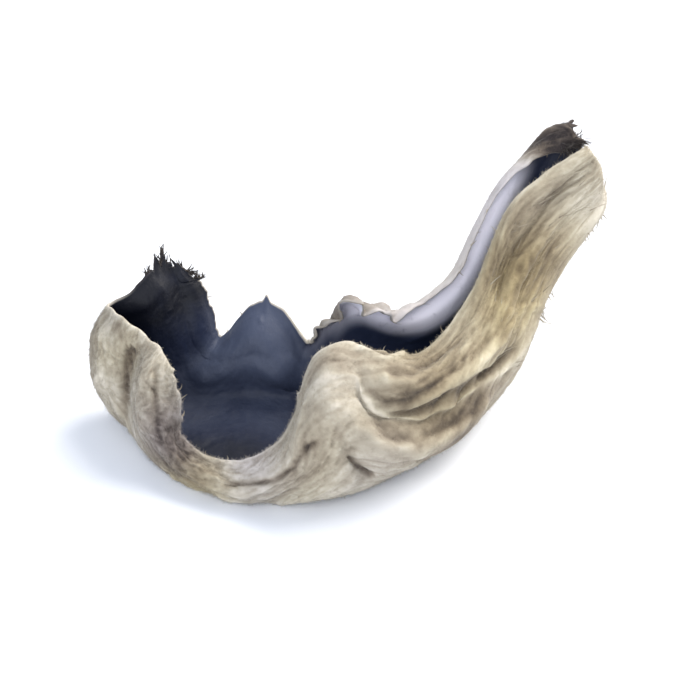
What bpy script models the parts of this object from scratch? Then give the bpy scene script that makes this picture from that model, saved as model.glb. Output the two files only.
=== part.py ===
"""One dried wood ear mushroom: a single leathery sheet, curled into a lobed boat.

The pale, wrinkled outside was the back of the living ear, and the smooth black inside was its
spore face. The ear lies on its belly. It grew from the pinched tail, which now sweeps up at the
right, and its free margin dried in rolled lobes round the other sides.

The sheet is lofted through guide lines that run from the left end (t = 0) to the tail (t = 1).
Across it, s runs from the near margin (0) to the far margin (1). Lengths are in millimetres and
become metres when the mesh is made. +X is right, +Y is away from the viewer, +Z is up, and the
floor is Z = 0.
"""

import bmesh
import bpy
import numpy as np
from mathutils import Vector, noise

MM = 0.001

WALL = 0.85
EDGE_WALL = 0.55
EDGE_SHARE = 0.12

LENGTH_CELLS = 66
WIDTH_CELLS = 30

# The guide lines. Each starts at the rim of the left end, comes down the end wall and runs along
# the ear to the tail, and its points are evenly spaced in t.
NEAR_CREST = (
    (-16.2, 8.4, 9.2), (-16.0, 8.0, 8.2), (-15.8, 7.6, 7.0), (-15.6, 7.2, 5.9),
    (-15.3, 6.7, 4.9), (-14.5, 5.9, 4.3), (-13.0, 4.9, 4.0), (-11.0, 3.9, 4.1),
    (-8.9, 3.3, 4.7), (-6.9, 3.3, 6.3), (-5.5, 3.8, 9.0), (-4.4, 4.7, 12.0),
    (-1.2, 6.2, 14.4), (2.6, 8.4, 13.0), (6.0, 11.2, 10.7), (8.8, 14.4, 11.4),
    (10.6, 17.4, 13.2), (12.0, 20.2, 15.6), (14.0, 22.8, 17.9), (17.4, 25.2, 19.4),
    (20.5, 27.3, 20.6),
)
NEAR_WALL = (
    (-17.9, 10.2, 9.6), (-18.0, 9.2, 7.4), (-17.4, 7.6, 5.0), (-15.9, 5.0, 3.0),
    (-12.7, 2.5, 2.3), (-8.8, 0.9, 2.5), (-3.8, -0.2, 5.2), (0.2, 0.2, 6.8),
    (4.8, 3.2, 7.0), (9.8, 8.4, 7.0), (14.2, 14.4, 9.2), (17.2, 21.0, 13.0),
    (22.1, 26.9, 17.4),
)
NEAR_FOOT = (
    (-19.9, 12.3, 10.6), (-20.3, 11.8, 7.8), (-20.0, 10.7, 4.6), (-17.2, 7.5, 0.9),
    (-13.2, 4.6, 0.1), (-9.0, 3.0, 0.1), (-4.4, 2.2, 0.5), (0.4, 2.6, 1.2),
    (5.6, 5.6, 1.6), (10.6, 10.6, 2.4), (14.8, 16.6, 4.8), (17.4, 22.7, 9.0),
    (22.3, 27.9, 14.5),
)
NEAR_FLOOR = (
    (-21.9, 14.8, 11.0), (-22.1, 14.8, 8.2), (-22.2, 14.2, 4.8), (-19.6, 12.4, 1.0),
    (-15.4, 9.6, -0.3), (-10.8, 7.6, -0.3), (-5.8, 6.6, -0.3), (-0.4, 7.4, -0.4),
    (4.8, 10.0, -0.3), (9.4, 14.2, 0.6), (13.6, 19.2, 3.8), (17.1, 24.6, 8.2),
    (22.1, 29.1, 13.8),
)
FAR_FLOOR = (
    (-21.4, 17.6, 9.8), (-21.7, 17.4, 7.2), (-21.1, 16.8, 4.2), (-18.4, 15.4, 1.0),
    (-15.0, 13.4, -0.2), (-11.0, 12.0, -0.3), (-6.0, 11.2, -0.3), (-0.8, 11.6, -0.4),
    (4.2, 13.4, -0.3), (8.8, 17.0, 0.3), (13.2, 21.4, 3.6), (16.8, 26.2, 8.2),
    (21.7, 29.9, 14.0),
)
FAR_FOOT = (
    (-19.2, 20.0, 11.2), (-20.2, 19.6, 8.4), (-19.6, 18.8, 5.0), (-17.4, 17.4, 2.0),
    (-14.2, 16.4, 0.7), (-10.6, 16.4, -0.2), (-6.4, 16.8, -0.5), (-1.4, 16.9, -0.7),
    (3.6, 18.1, -0.4), (8.4, 20.3, 1.0), (12.6, 23.6, 5.0), (16.3, 27.8, 9.6),
    (21.3, 30.6, 15.0),
)
FAR_WALL = (
    (-16.6, 21.2, 11.4), (-17.0, 21.0, 9.0), (-16.4, 20.4, 6.4), (-14.8, 19.6, 4.2),
    (-12.4, 18.8, 3.2), (-9.6, 19.0, 3.6), (-6.6, 18.9, 3.6), (-2.8, 18.5, 4.4),
    (1.6, 19.2, 5.6), (6.6, 21.4, 6.2), (11.2, 25.2, 9.0), (15.6, 28.8, 13.6),
    (20.3, 30.9, 17.4),
)
FAR_CREST = (
    (-14.4, 21.2, 11.0), (-13.8, 21.1, 10.4), (-13.3, 20.9, 9.6), (-12.9, 20.6, 8.7),
    (-12.6, 20.3, 7.7), (-12.3, 20.0, 6.6), (-11.8, 19.8, 5.8), (-10.8, 20.0, 6.6),
    (-9.4, 20.4, 8.2), (-7.8, 20.3, 8.9), (-5.9, 19.4, 8.1), (-4.3, 18.1, 6.0),
    (-3.0, 17.4, 8.2), (-0.6, 17.4, 11.8), (2.6, 18.1, 9.9), (6.0, 20.2, 9.6),
    (9.2, 22.8, 11.2), (11.4, 25.2, 15.2), (13.2, 27.2, 18.2), (15.6, 29.0, 20.0),
    (18.2, 30.2, 21.4),
)
SECTION_SHARE = (0.0, 0.18, 0.33, 0.46, 0.58, 0.70, 0.84, 1.0)

# How the margins roll: arc lengths, and turns in degrees. A positive turn curls in over the
# black face, a negative one flares out. The side rolls are listed along t, the left end's and
# the tail's along s. The two ends roll towards their middle points.
SIDE_ROLL = 0.12
NEAR_ROLL_LENGTH = (1.2, 1.8, 2.0, 2.0, 2.0, 2.4, 2.6, 2.6, 2.4, 2.0, 1.4)
NEAR_ROLL_TURN = (60, 80, 80, 80, 80, 85, 75, 70, 70, 80, 70)
FAR_ROLL_LENGTH = (1.4, 1.4, 1.4, 1.4, 1.4, 1.2, 1.0, 1.2, 1.6, 1.6, 1.4, 1.0, 1.2, 2.4, 2.4,
                   2.0, 2.0, 2.2, 2.4, 2.8, 3.4)
FAR_ROLL_TURN = (-20, -30, -30, -30, -30, -20, 0, -20, -50, -55, -30, 10, 50, 100, 80,
                 45, 45, 60, 80, 120, 200)
END_ROLL = 0.04
END_ROLL_LENGTH = (0.9, 1.5, 1.8, 1.5, 1.2, 1.2, 1.2, 1.2, 1.2)
END_ROLL_TURN = (60, 60, 50, 40, 10, -20, -30, -30, -20)
END_MIDDLE = (-12.0, 14.0, 8.0)
TAIL_ROLL = 0.03
TAIL_ROLL_LENGTH = (0.5, 0.9, 1.4, 1.6, 1.6, 1.6, 1.4, 0.9, 0.5)
TAIL_ROLL_TURN = (10, 40, 75, 90, 90, 90, 75, 40, 10)
TAIL_MIDDLE = (20.6, 29.2, 18.2)

# Folds of the near wall, as they are seen from the front at 36 degrees above the floor: height
# of the fold, half of its width, and its line. A negative height is a crease.
VIEW_RISE = 0.809
VIEW_DEPTH = 0.588
NEAR_FOLDS = (
    (1.8, 1.6, ((-0.9, 15.2), (-2.1, 12.9), (-2.3, 10.1), (-2.9, 8.1), (-4.3, 6.1))),
    (-1.7, 0.9, ((-0.4, 14.0), (0.2, 11.5), (1.8, 9.5), (4.5, 8.9), (7.9, 9.5), (10.2, 11.2),
                 (13.1, 13.4), (14.6, 15.4))),
    (1.2, 1.6, ((2.0, 12.9), (4.6, 11.4), (8.0, 12.0), (11.0, 14.4))),
    (1.3, 1.2, ((-0.4, 9.0), (1.6, 7.2), (5.0, 6.8), (8.4, 7.8), (11.2, 9.8), (13.8, 12.4))),
    (-1.3, 0.8, ((-0.8, 6.3), (1.6, 4.3))),
    (-0.5, 0.9, ((-12.5, 3.6), (-9.0, 3.4), (-6.9, 3.8), (-5.3, 5.4))),
    (-1.0, 0.9, ((-4.6, 1.9), (-2.0, 1.3), (1.5, 2.1), (4.5, 3.8), (7.0, 5.2))),
    (-1.6, 1.0, ((-19.9, 15.2), (-20.2, 12.7), (-20.6, 9.8), (-20.2, 7.4))),
    (1.2, 1.3, ((-17.9, 13.4), (-17.8, 11.0), (-17.6, 8.0))),
    (-1.4, 1.0, ((12.2, 19.0), (13.6, 22.4), (16.4, 26.4), (19.4, 30.2))),
    (-1.4, 1.0, ((14.4, 16.6), (15.4, 20.4), (18.0, 24.6), (21.2, 28.6))),
)

# The crumpling of the whole sheet: noise wavelengths along and across it, and its height.
CRUMPLES = ((15.0, 7.5, 1.5, 3.1), (28.0, 4.6, 1.5, 5.5), (7.0, 4.0, 0.5, 8.7))
SHEET_LENGTH = 56.0
SHEET_WIDTH = 34.0
BELLY = WALL / 2
BELLY_BEND = 0.6

# The flat under the belly, on which the ear rests: the middle and the half lengths of its oval
# outline, the height from which its inside is pressed level, and the gap round it.
FLAT_MIDDLE = (-4.6, 11.6)
FLAT_HALF_LENGTHS = (10.2, 5.2)
FLAT_REACH = 0.35
FLAT_GAP = 0.25

FINE_STEPS = 240
MARGIN_CROWDING = 0.45


def smooth(a, low, high):
    """0 below low, 1 above high, and a smooth step between them."""
    x = np.clip((a - low) / (high - low), 0.0, 1.0)
    return x * x * (3.0 - 2.0 * x)


def unit(vectors):
    return vectors / np.maximum(np.linalg.norm(vectors, axis=-1), 1e-9)[..., None]


def along(points, t):
    """The smooth curve through evenly spaced points, read at each t from 0 to 1."""
    points = np.asarray(points, float)
    if points.ndim == 1:
        points = points[:, None]
    last = len(points) - 1
    padded = np.vstack((2 * points[0] - points[1], points, 2 * points[-1] - points[-2]))
    place = np.clip(t, 0.0, 1.0) * last
    cell = np.minimum(place.astype(int), last - 1)
    f = (place - cell)[:, None]
    a, b, c, d = (padded[cell + k] for k in range(4))
    curve = (2 * b + (c - a) * f + (2 * a - 5 * b + 4 * c - d) * f**2
             + (3 * b - a - 3 * c + d) * f**3)
    return curve / 2


def rolled(length, turn, share):
    """How far a rolling margin has gone on and turned in at this share of its arc."""
    turn = np.where(np.abs(turn) < 0.01, 0.01, turn)
    return length * np.sin(turn * share) / turn, length * (1 - np.cos(turn * share)) / turn


def across(guides, s):
    """The cross-section through the guide points at each s."""
    keys = np.asarray(SECTION_SHARE)
    slopes = [(guides[1] - guides[0]) / (keys[1] - keys[0])]
    for k in range(1, len(keys) - 1):
        before = (guides[k] - guides[k - 1]) / (keys[k] - keys[k - 1])
        after = (guides[k + 1] - guides[k]) / (keys[k + 1] - keys[k])
        share = (keys[k] - keys[k - 1]) / (keys[k + 1] - keys[k - 1])
        slopes.append(before * (1 - share) + after * share)
    slopes.append((guides[-1] - guides[-2]) / (keys[-1] - keys[-2]))
    point = np.zeros_like(guides[0])
    for k in range(len(keys) - 1):
        step = keys[k + 1] - keys[k]
        here = (s >= keys[k]) & ((s < keys[k + 1]) | (k == len(keys) - 2))
        f = ((s - keys[k]) / step)[:, None]
        p = ((2 * f**3 - 3 * f**2 + 1) * guides[k] + (f**3 - 2 * f**2 + f) * slopes[k] * step
             + (3 * f**2 - 2 * f**3) * guides[k + 1] + (f**3 - f**2) * slopes[k + 1] * step)
        point[here] = p[here]
    return point


def roll_start(crest, wall, length, turn):
    """The upward direction below a crest, and the place where the margin starts to roll."""
    up = unit(crest - wall)
    quarter = np.minimum(1, np.radians(90) / np.maximum(np.abs(turn), 0.01))
    return up, crest - up * rolled(length, turn, quarter)[0]


def roll_on(point, up, toward, length, turn, share):
    """The place on a margin that rolls from this point, up first and then towards a side."""
    aside = unit(toward - up * np.sum(toward * up, axis=1)[:, None])
    on, turned = rolled(length, turn, share[:, None])
    return point + up * on + aside * turned


def body(t, s):
    """The sheet with its two side margins rolled."""
    inner = np.clip((s - SIDE_ROLL) / (1 - 2 * SIDE_ROLL), 0.0, 1.0)
    near_crest, near_wall = along(NEAR_CREST, t), along(NEAR_WALL, t)
    far_crest, far_wall = along(FAR_CREST, t), along(FAR_WALL, t)
    near_length, near_turn = along(NEAR_ROLL_LENGTH, t), np.radians(along(NEAR_ROLL_TURN, t))
    far_length, far_turn = along(FAR_ROLL_LENGTH, t), np.radians(along(FAR_ROLL_TURN, t))
    near_up, near_rim = roll_start(near_crest, near_wall, near_length, near_turn)
    far_up, far_rim = roll_start(far_crest, far_wall, far_length, far_turn)
    point = across((near_rim, near_wall, along(NEAR_FOOT, t), along(NEAR_FLOOR, t),
                    along(FAR_FLOOR, t), along(FAR_FOOT, t), far_wall, far_rim), inner)
    over = unit(far_crest - near_crest)
    near_share = np.clip((SIDE_ROLL - s) / SIDE_ROLL, 0, 1)
    far_share = np.clip((s - 1 + SIDE_ROLL) / SIDE_ROLL, 0, 1)
    near = roll_on(point, near_up, over, near_length, near_turn, near_share)
    far = roll_on(point, far_up, -over, far_length, far_turn, far_share)
    point = np.where((s < SIDE_ROLL)[:, None], near, point)
    return np.where((s > 1 - SIDE_ROLL)[:, None], far, point)


def loft(t, s):
    """The middle of the sheet before it crumples."""
    inner = np.clip((t - END_ROLL) / (1 - END_ROLL - TAIL_ROLL), 0.0, 1.0)
    point = body(inner, s)
    first = body(np.zeros_like(t), s)
    up = unit(first - body(np.full_like(t, 0.03), s))
    share = np.clip((END_ROLL - t) / END_ROLL, 0, 1)
    turn = np.radians(along(END_ROLL_TURN, s))
    end = roll_on(first, up, unit(np.array(END_MIDDLE) - first), along(END_ROLL_LENGTH, s),
                  turn, share)
    point = np.where((t < END_ROLL)[:, None], end, point)
    last = body(np.ones_like(t), s)
    up = unit(last - body(np.full_like(t, 0.97), s))
    share = np.clip((t - 1 + TAIL_ROLL) / TAIL_ROLL, 0, 1)
    turn = np.radians(along(TAIL_ROLL_TURN, s))
    tail = roll_on(last, up, unit(np.array(TAIL_MIDDLE) - last), along(TAIL_ROLL_LENGTH, s),
                   turn, share)
    return np.where((t > 1 - TAIL_ROLL)[:, None], tail, point)


def line_distance(u, v, line):
    """The distance from each (u, v) to a line, with how far along the line that is."""
    line = np.asarray(line, float)
    lengths = np.linalg.norm(line[1:] - line[:-1], axis=1)
    before = np.concatenate(([0.0], np.cumsum(lengths)))
    nearest = np.full(u.shape, 1e9)
    share = np.zeros(u.shape)
    for a, b, length, start in zip(line[:-1], line[1:], lengths, before):
        f = ((u - a[0]) * (b[0] - a[0]) + (v - a[1]) * (b[1] - a[1])) / length**2
        f = np.clip(f, 0, 1)
        gap = np.hypot(u - a[0] - f * (b[0] - a[0]), v - a[1] - f * (b[1] - a[1]))
        share = np.where(gap < nearest, (start + f * length) / before[-1], share)
        nearest = np.minimum(nearest, gap)
    return nearest, share


def fold_height(t, s, points):
    """How far each place of the sheet is pushed towards the pale side."""
    u = points[..., 0]
    v = VIEW_RISE * points[..., 2] + VIEW_DEPTH * points[..., 1]
    near_side = 1 - smooth(s, 0.36, 0.44)
    inland = 0.4 + 0.6 * smooth(np.minimum(s, 1 - s), 0.0, 0.15)
    height = np.zeros(u.shape)
    for amount, half_width, line in NEAR_FOLDS:
        gap, share = line_distance(u, v, line)
        ends = smooth(share, 0.0, 0.15) * (1 - smooth(share, 0.85, 1.0))
        height += amount * np.exp(-(gap / half_width) ** 2) * near_side * (0.35 + 0.65 * ends)
    for wave_along, wave_across, amount, seed in CRUMPLES:
        places = np.stack((t * SHEET_LENGTH / wave_along, s * SHEET_WIDTH / wave_across,
                           np.full(t.shape, seed)), axis=-1)
        flat = places.reshape(-1, 3)
        bumps = np.array([noise.noise(Vector(p)) for p in flat]).reshape(t.shape)
        height += 1.6 * amount * bumps * (1 - 0.6 * near_side) * inland
    return height


def sheet_normals(points):
    """Unit normals of a grid of points, towards the black face."""
    return unit(np.cross(np.gradient(points, axis=0), np.gradient(points, axis=1)))


def even_sections(rows, columns):
    """The loft with each section's points spread evenly along it, and closer at its margins."""
    fine = np.linspace(0, 1, FINE_STEPS + 1)
    t, s = np.meshgrid(rows, fine, indexing="ij")
    dense = loft(t.ravel(), s.ravel()).reshape(t.shape + (3,))
    steps = np.linalg.norm(np.diff(dense, axis=1), axis=2)
    walked = np.concatenate((np.zeros((len(rows), 1)), np.cumsum(steps, axis=1)), axis=1)
    walked /= walked[:, -1:]
    wanted = columns - MARGIN_CROWDING * np.sin(2 * np.pi * columns) / (2 * np.pi)
    sections = np.empty((len(rows), len(columns), 3))
    for i in range(len(rows)):
        for k in range(3):
            sections[i, :, k] = np.interp(wanted, walked[i], dense[i, :, k])
    return sections


def relaxed(points, rounds):
    """The grid with each inner place drawn halfway to the middle of its four neighbours."""
    for _ in range(rounds):
        middle = (points[:-2, 1:-1] + points[2:, 1:-1] + points[1:-1, :-2] + points[1:-1, 2:]) / 4
        points = points.copy()
        points[1:-1, 1:-1] = (points[1:-1, 1:-1] + middle) / 2
    return points


def on_the_floor(height):
    """Heights of the middle of the sheet, eased into the flat of the belly."""
    bend = BELLY + BELLY_BEND * (np.clip((height - BELLY) / BELLY_BEND, -1, 1) + 1) ** 2 / 4
    return np.where(height > BELLY + BELLY_BEND, height, bend)


def sheet(rows, columns):
    """The middle points and normals of the finished sheet on a grid of (t, s)."""
    t, s = np.meshgrid(rows, columns, indexing="ij")
    points = relaxed(even_sections(rows, columns), 2)
    points[..., 2] = on_the_floor(points[..., 2])
    lift = smooth(points[..., 2], BELLY, BELLY + 1.5)
    calm = smooth(t, 0.0, 0.05) * (1 - smooth(t, 0.97, 1.0))
    push = fold_height(t, s, points) * lift * (0.4 + 0.6 * calm)
    points = points - sheet_normals(points) * push[..., None]
    points = relaxed(points, 1)
    points[..., 2] = np.maximum(points[..., 2], BELLY)
    return points, sheet_normals(points)


def press_flat(outer):
    """Presses the outer side level within the flat's oval, and keeps it off the floor elsewhere."""
    height = outer[..., 2]
    place = (outer[..., :2] - FLAT_MIDDLE) / FLAT_HALF_LENGTHS
    inside = (np.linalg.norm(place, axis=-1) < 1) & (height < FLAT_REACH)
    outer[..., 2] = np.where(inside, 0.0, np.maximum(height, FLAT_GAP))


def make_material(name, colour, roughness):
    material = bpy.data.materials.new(name)
    material.use_nodes = True
    shader = material.node_tree.nodes["Principled BSDF"]
    shader.inputs["Base Color"].default_value = (*colour, 1.0)
    shader.inputs["Roughness"].default_value = roughness
    shader.inputs["Metallic"].default_value = 0.0
    return material


def make_ear():
    rows = np.linspace(0, 1, LENGTH_CELLS + 1)
    columns = np.linspace(0, 1, WIDTH_CELLS + 1)
    points, normals = sheet(rows, columns)
    margin = np.minimum(columns, 1 - columns)[None, :]
    margin = np.minimum(margin, np.minimum(rows, 1 - rows)[:, None])
    wall = EDGE_WALL + (WALL - EDGE_WALL) * smooth(margin, 0.0, EDGE_SHARE)
    outer = points - normals * wall[..., None] / 2
    press_flat(outer)
    inner = points + normals * wall[..., None] / 2

    bm = bmesh.new()
    bmesh.ops.create_grid(bm, x_segments=LENGTH_CELLS, y_segments=WIDTH_CELLS, size=0.5)
    outer_faces = bm.faces[:]
    outer_verts = bm.verts[:]
    copied = bmesh.ops.duplicate(bm, geom=outer_verts + bm.edges[:] + outer_faces)
    for vert in outer_verts:
        i = round((vert.co.x + 0.5) * LENGTH_CELLS)
        j = round((vert.co.y + 0.5) * WIDTH_CELLS)
        copied["vert_map"][vert].co = Vector(inner[i, j]) * MM
        vert.co = Vector(outer[i, j]) * MM
    bmesh.ops.reverse_faces(bm, faces=outer_faces)
    bmesh.ops.bridge_loops(bm, edges=[e for e in bm.edges if e.is_boundary])
    bmesh.ops.recalc_face_normals(bm, faces=bm.faces[:])

    low = [min(v.co[k] for v in bm.verts) for k in range(3)]
    high = [max(v.co[k] for v in bm.verts) for k in range(3)]
    centre = Vector(((low[0] + high[0]) / 2, (low[1] + high[1]) / 2, 0.0))
    bmesh.ops.translate(bm, verts=bm.verts[:], vec=-centre)
    mesh = bpy.data.meshes.new("ear")
    bm.to_mesh(mesh)
    bm.free()
    mesh.shade_smooth()
    mesh.materials.append(make_material("dried skin", (0.42, 0.34, 0.25), 0.8))
    ear = bpy.data.objects.new("ear", mesh)
    bpy.context.collection.objects.link(ear)
    return ear


for old in list(bpy.data.objects):
    bpy.data.objects.remove(old, do_unlink=True)
make_ear()
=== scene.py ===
import math

import bmesh
import bpy
import numpy as np
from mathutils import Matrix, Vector, noise


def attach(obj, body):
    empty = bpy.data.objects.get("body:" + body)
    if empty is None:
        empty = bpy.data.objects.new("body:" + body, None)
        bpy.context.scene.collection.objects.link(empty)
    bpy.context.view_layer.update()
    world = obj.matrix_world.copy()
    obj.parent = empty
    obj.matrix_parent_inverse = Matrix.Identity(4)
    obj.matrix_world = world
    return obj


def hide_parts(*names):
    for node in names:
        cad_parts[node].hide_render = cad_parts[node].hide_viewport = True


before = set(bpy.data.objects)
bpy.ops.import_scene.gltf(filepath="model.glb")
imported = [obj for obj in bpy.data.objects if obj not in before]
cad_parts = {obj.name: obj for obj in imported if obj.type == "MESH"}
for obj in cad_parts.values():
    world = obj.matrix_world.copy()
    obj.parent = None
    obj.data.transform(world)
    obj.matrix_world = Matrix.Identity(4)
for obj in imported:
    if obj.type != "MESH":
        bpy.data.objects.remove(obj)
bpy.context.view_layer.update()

# The ear's form
# A wood ear is one leathery sheet. This one dried into a lobed boat with a pinched tail, which is
# where it grew from. Its guide lines run from the left end's rim (t = 0), down the end wall and
# along to the tail (t = 1), and s runs across it from the near margin (0) to the far one (1).
MM = 0.001
FORM_ROWS = 66
FORM_COLUMNS = 30

# The guide lines' points are in mm, to the right, away and up, as the ear is seen from the front.
NEAR_CREST = (
    (-16.2, 8.4, 9.2), (-16.0, 8.0, 8.2), (-15.8, 7.6, 7.0), (-15.6, 7.2, 5.9),
    (-15.3, 6.7, 4.9), (-14.5, 5.9, 4.3), (-13.0, 4.9, 4.0), (-11.0, 3.9, 4.1),
    (-8.9, 3.3, 4.7), (-6.9, 3.3, 6.3), (-5.5, 3.8, 9.0), (-4.4, 4.7, 12.0),
    (-1.2, 6.2, 14.4), (2.6, 8.4, 13.0), (6.0, 11.2, 10.7), (8.8, 14.4, 11.4),
    (10.6, 17.4, 13.2), (12.0, 20.2, 15.6), (14.0, 22.8, 17.9), (17.4, 25.2, 19.4),
    (20.5, 27.3, 20.6),
)
NEAR_WALL = (
    (-17.9, 10.2, 9.6), (-18.0, 9.2, 7.4), (-17.4, 7.6, 5.0), (-15.9, 5.0, 3.0),
    (-12.7, 2.5, 2.3), (-8.8, 0.9, 2.5), (-3.8, -0.2, 5.2), (0.2, 0.2, 6.8),
    (4.8, 3.2, 7.0), (9.8, 8.4, 7.0), (14.2, 14.4, 9.2), (17.2, 21.0, 13.0),
    (22.1, 26.9, 17.4),
)
NEAR_FOOT = (
    (-19.9, 12.3, 10.6), (-20.3, 11.8, 7.8), (-20.0, 10.7, 4.6), (-17.2, 7.5, 0.9),
    (-13.2, 4.6, 0.1), (-9.0, 3.0, 0.1), (-4.4, 2.2, 0.5), (0.4, 2.6, 1.2),
    (5.6, 5.6, 1.6), (10.6, 10.6, 2.4), (14.8, 16.6, 4.8), (17.4, 22.7, 9.0),
    (22.3, 27.9, 14.5),
)
NEAR_FLOOR = (
    (-21.9, 14.8, 11.0), (-22.1, 14.8, 8.2), (-22.2, 14.2, 4.8), (-19.6, 12.4, 1.0),
    (-15.4, 9.6, -0.3), (-10.8, 7.6, -0.3), (-5.8, 6.6, -0.3), (-0.4, 7.4, -0.4),
    (4.8, 10.0, -0.3), (9.4, 14.2, 0.6), (13.6, 19.2, 3.8), (17.1, 24.6, 8.2),
    (22.1, 29.1, 13.8),
)
FAR_FLOOR = (
    (-21.4, 17.6, 9.8), (-21.7, 17.4, 7.2), (-21.1, 16.8, 4.2), (-18.4, 15.4, 1.0),
    (-15.0, 13.4, -0.2), (-11.0, 12.0, -0.3), (-6.0, 11.2, -0.3), (-0.8, 11.6, -0.4),
    (4.2, 13.4, -0.3), (8.8, 17.0, 0.3), (13.2, 21.4, 3.6), (16.8, 26.2, 8.2),
    (21.7, 29.9, 14.0),
)
FAR_FOOT = (
    (-19.2, 20.0, 11.2), (-20.2, 19.6, 8.4), (-19.6, 18.8, 5.0), (-17.4, 17.4, 2.0),
    (-14.2, 16.4, 0.7), (-10.6, 16.4, -0.2), (-6.4, 16.8, -0.5), (-1.4, 16.9, -0.7),
    (3.6, 18.1, -0.4), (8.4, 20.3, 1.0), (12.6, 23.6, 5.0), (16.3, 27.8, 9.6),
    (21.3, 30.6, 15.0),
)
FAR_WALL = (
    (-16.6, 21.2, 11.4), (-17.0, 21.0, 9.0), (-16.4, 20.4, 6.4), (-14.8, 19.6, 4.2),
    (-12.4, 18.8, 3.2), (-9.6, 19.0, 3.6), (-6.6, 18.9, 3.6), (-2.8, 18.5, 4.4),
    (1.6, 19.2, 5.6), (6.6, 21.4, 6.2), (11.2, 25.2, 9.0), (15.6, 28.8, 13.6),
    (20.3, 30.9, 17.4),
)
FAR_CREST = (
    (-14.4, 21.2, 11.0), (-13.8, 21.1, 10.4), (-13.3, 20.9, 9.6), (-12.9, 20.6, 8.7),
    (-12.6, 20.3, 7.7), (-12.3, 20.0, 6.6), (-11.8, 19.8, 5.8), (-10.8, 20.0, 6.6),
    (-9.4, 20.4, 8.2), (-7.8, 20.3, 8.9), (-5.9, 19.4, 8.1), (-4.3, 18.1, 6.0),
    (-3.0, 17.4, 8.2), (-0.6, 17.4, 11.8), (2.6, 18.1, 9.9), (6.0, 20.2, 9.6),
    (9.2, 22.8, 11.2), (11.4, 25.2, 15.2), (13.2, 27.2, 18.2), (15.6, 29.0, 20.0),
    (18.2, 30.2, 21.4),
)

# How far across the sheet, between its rolled margins, each guide line lies.
SECTION_SHARE = (0.0, 0.18, 0.33, 0.46, 0.58, 0.70, 0.84, 1.0)

# How much of the sheet each margin rolls, how long the roll is in mm and how many degrees it turns
# in, at places spread evenly along the margin.
SIDE_ROLL = 0.12
NEAR_ROLL_LENGTH = (1.2, 1.8, 2.0, 2.0, 2.0, 2.4, 2.6, 2.6, 2.4, 2.0, 1.4)
NEAR_ROLL_TURN = (60, 80, 80, 80, 80, 85, 75, 70, 70, 80, 70)
FAR_ROLL_LENGTH = (1.4, 1.4, 1.4, 1.4, 1.4, 1.2, 1.0, 1.2, 1.6, 1.6, 1.4, 1.0, 1.2, 2.4, 2.4,
                   2.0, 2.0, 2.2, 2.4, 2.8, 3.4)
FAR_ROLL_TURN = (-20, -30, -30, -30, -30, -20, 0, -20, -50, -55, -30, 10, 50, 100, 80,
                 45, 45, 60, 80, 120, 200)
END_ROLL = 0.04
END_ROLL_LENGTH = (0.9, 1.5, 1.8, 1.5, 1.2, 1.2, 1.2, 1.2, 1.2)
END_ROLL_TURN = (60, 60, 50, 40, 10, -20, -30, -30, -20)
END_MIDDLE = (-12.0, 14.0, 8.0)
TAIL_ROLL = 0.03
TAIL_ROLL_LENGTH = (0.5, 0.9, 1.4, 1.6, 1.6, 1.6, 1.4, 0.9, 0.5)
TAIL_ROLL_TURN = (10, 40, 75, 90, 90, 90, 75, 40, 10)
TAIL_MIDDLE = (20.6, 29.2, 18.2)
NEXT_TO_END = 0.03

# Seen from the front, a place lies higher by these shares of its height and of its depth. A fold
# has a height, a half width and points as they are seen, and a crumple a length, a width, a height
# and a seed for its noise.
VIEW_RISE = 0.809
VIEW_DEPTH = 0.588
BIG_FOLDS = (
    (1.8, 1.6, ((-0.9, 15.2), (-2.1, 12.9), (-2.3, 10.1), (-2.9, 8.1), (-4.3, 6.1))),
    (-1.7, 0.9, ((-0.4, 14.0), (0.2, 11.5), (1.8, 9.5), (4.5, 8.9), (7.9, 9.5), (10.2, 11.2),
                 (13.1, 13.4), (14.6, 15.4))),
    (1.2, 1.6, ((2.0, 12.9), (4.6, 11.4), (8.0, 12.0), (11.0, 14.4))),
    (1.3, 1.2, ((-0.4, 9.0), (1.6, 7.2), (5.0, 6.8), (8.4, 7.8), (11.2, 9.8), (13.8, 12.4))),
    (-1.3, 0.8, ((-0.8, 6.3), (1.6, 4.3))),
    (-0.5, 0.9, ((-12.5, 3.6), (-9.0, 3.4), (-6.9, 3.8), (-5.3, 5.4))),
    (-1.0, 0.9, ((-4.6, 1.9), (-2.0, 1.3), (1.5, 2.1), (4.5, 3.8), (7.0, 5.2))),
    (-1.6, 1.0, ((-19.9, 15.2), (-20.2, 12.7), (-20.6, 9.8), (-20.2, 7.4))),
    (1.2, 1.3, ((-17.9, 13.4), (-17.8, 11.0), (-17.6, 8.0))),
    (-1.4, 1.0, ((12.2, 19.0), (13.6, 22.4), (16.4, 26.4), (19.4, 30.2))),
    (-1.4, 1.0, ((14.4, 16.6), (15.4, 20.4), (18.0, 24.6), (21.2, 28.6))),
)
CRUMPLES = ((15.0, 7.5, 2.4, 3.1), (28.0, 4.6, 2.4, 5.5), (7.0, 4.0, 0.8, 8.7))
SHEET_LENGTH = 56.0
SHEET_WIDTH = 34.0
WALL = 0.85
BELLY = WALL / 2
BELLY_BEND = 0.6
FOLDS_FROM = 1.5
FINE_STEPS = 240
MARGIN_CROWDING = 0.45


def smooth(a, low, high):
    """0 below low, 1 above high, and a smooth step between them."""
    x = np.clip((a - low) / (high - low), 0.0, 1.0)
    return x * x * (3.0 - 2.0 * x)


def fading(a, low, high):
    """1 below low, 0 above high, and a smooth step between them."""
    return 1 - smooth(a, low, high)


def between(a, rise, fall):
    """0 before the rise and after the fall, and 1 between them."""
    return smooth(a, *rise) * fading(a, *fall)


def bump_at(place, middle, half_width):
    """A round bump, 1 high."""
    return np.exp(-((place - middle) / half_width) ** 2)


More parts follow.
